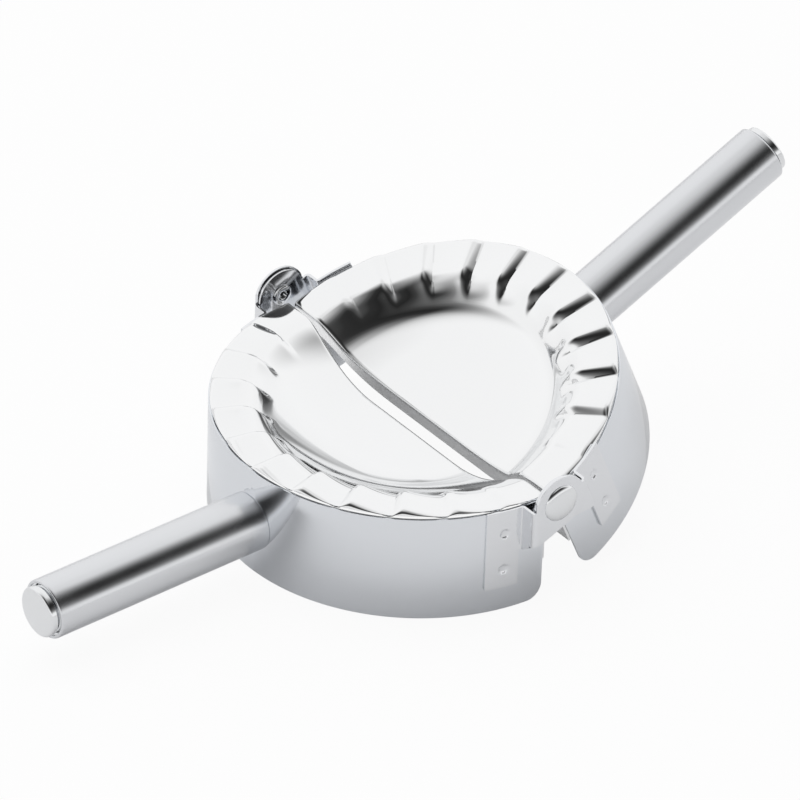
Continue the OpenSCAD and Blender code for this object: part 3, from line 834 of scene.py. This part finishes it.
def end_plug(name):
    """The round plug that closes a tube, with a fine groove round its seat and a soft edge."""
    body = [(7.97, -8.0), (7.97, -0.5), (7.2, -0.5), (7.2, 0.45), (7.62, 0.5), (7.7, 0.6), (7.7, 1.7)]
    edge = [(6.8 + 0.9 * cos(a), 1.7 + 0.9 * sin(a)) for a in (pi / 20 * k for k in range(1, 11))]
    face = [(5.2, 2.6), (3.0, 2.6), (0, 2.6)]
    profile = [(r * MM, at * MM) for r, at in body + edge + face]
    piece = turned(name, profile, "X", (RING_R + TUBE_LEN, 0, TUBE_H))
    bpy.ops.object.mode_set(mode="OBJECT")
    return piece


def hinge_rivet(name):
    """The back rivet: a low domed head outside, the shank through both ears and a hollow rolled tail."""
    tail = [(1.32, TAIL_Y + 0.3), (1.32, TAIL_Y - 0.3), (1.4, TAIL_Y - 0.42), (1.6, TAIL_Y - 0.49),
            (2.2, TAIL_Y - 0.5), (2.8, TAIL_Y - 0.46), (3.1, TAIL_Y - 0.36), (3.27, TAIL_Y - 0.22),
            (3.3, TAIL_Y - 0.08), (3.25, TAIL_Y)]
    shank = [(2.2, TAIL_Y), (2.2, HEAD_Y), (5.6, HEAD_Y)]
    dome = [(HEAD_R * cos(a), HEAD_Y + HEAD_H * sin(a)) for a in (pi / 2 * k / 16 for k in range(17))]
    profile = [(r * MM, y * MM) for r, y in tail + shank + dome]
    piece = turned(name, profile, "Y", (0, 0, HINGE_H))
    bpy.ops.object.mode_set(mode="OBJECT")
    return piece


set_camera()
set_world()
set_floor()
set_lights()

plate_steel = steel("plate_polished", (0.9, 0.905, 0.91), 0.055)
ring_steel = steel("ring_polished", (0.79, 0.81, 0.84), 0.07)
leaf_steel = steel("leaf_satin", (0.82, 0.83, 0.85), 0.11)
TUBE_COLOUR, BRUSH_LINES = (0.74, 0.75, 0.77), (60, 4000, 4000)
tube_steel = steel("tube_brushed", TUBE_COLOUR, 0.2, ((0, 0, 0), BRUSH_LINES), 0.25)
raised_tube_steel = steel("raised_tube_brushed", TUBE_COLOUR, 0.2, ((0, RAISE, 0), BRUSH_LINES), 0.25)
rivet_steel = steel("rivet_polished", (0.84, 0.85, 0.86), 0.05)
plain_steel = steel("screw_plain", (0.5, 0.51, 0.53), 0.3)

for side in ("left", "right"):
    dress(side + "_handle_insert", plain_steel)
    dress(side + "_handle_screw", plain_steel)
for end in ("front", "back"):
    dress(end + "_washer", plain_steel)

press_plate("left_pleated_plate", False, plate_steel, "left_half", ["left_press_plate"])
press_plate("right_pleated_plate", True, plate_steel, "right_half", ["right_press_plate"])
half_ring("left_ring_wall", False, LEFT_RING_H, ring_steel, "left_half", ["left_skirt"])
half_ring("right_ring_wall", True, RIGHT_RING_H, ring_steel, "right_half", ["right_skirt"])

# The inner ears turn on the rivets, the outer ears hold them
inner_back = hinge_leaf("right_back_hinge_leaf", RIGHT_LEAF_OFF, INNER_EAR_Y, INNER_EAR_R, TURNING_HOLE_R)
inner_front = twin(inner_back, "right_front_hinge_leaf", along=-1)
outer_model = hinge_leaf("leaf_model", LEFT_LEAF_OFF, OUTER_EAR_Y, OUTER_EAR_R, FIXED_HOLE_R)
outer_back = twin(outer_model, "left_back_hinge_leaf", across=-1)
outer_front = twin(outer_back, "left_front_hinge_leaf", along=-1)
for leaf, node in ((inner_back, "right_back_leaf"), (inner_front, "right_front_leaf")):
    raise_up(leaf)
    finish_piece(leaf, leaf_steel, "right_half", [node])
for leaf, node in ((outer_back, "left_back_leaf"), (outer_front, "left_front_leaf")):
    finish_piece(leaf, leaf_steel, "left_half", [node])
start_fresh()
outer_model.select_set(True)
bpy.ops.object.delete()

right_tube = handle_tube("right_tube_handle")
right_plug = end_plug("right_tube_plug")
left_tube = twin(right_tube, "left_tube_handle", across=-1)
left_plug = twin(right_plug, "left_tube_plug", across=-1)
for piece in (right_tube, right_plug):
    raise_up(piece)
finish_piece(right_tube, raised_tube_steel, "right_half", ["right_handle_tube"])
finish_piece(left_tube, tube_steel, "left_half", ["left_handle_tube"])
finish_piece(right_plug, rivet_steel, "right_half", ["right_end_plug"])
finish_piece(left_plug, rivet_steel, "left_half", ["left_end_plug"])

back_rivet = hinge_rivet("back_hinge_rivet")
front_rivet = twin(back_rivet, "front_hinge_rivet", along=-1)
finish_piece(back_rivet, rivet_steel, "left_half", ["back_rivet"])
finish_piece(front_rivet, rivet_steel, "left_half", ["front_rivet"])

bpy.context.scene.view_settings.view_transform = "Standard"
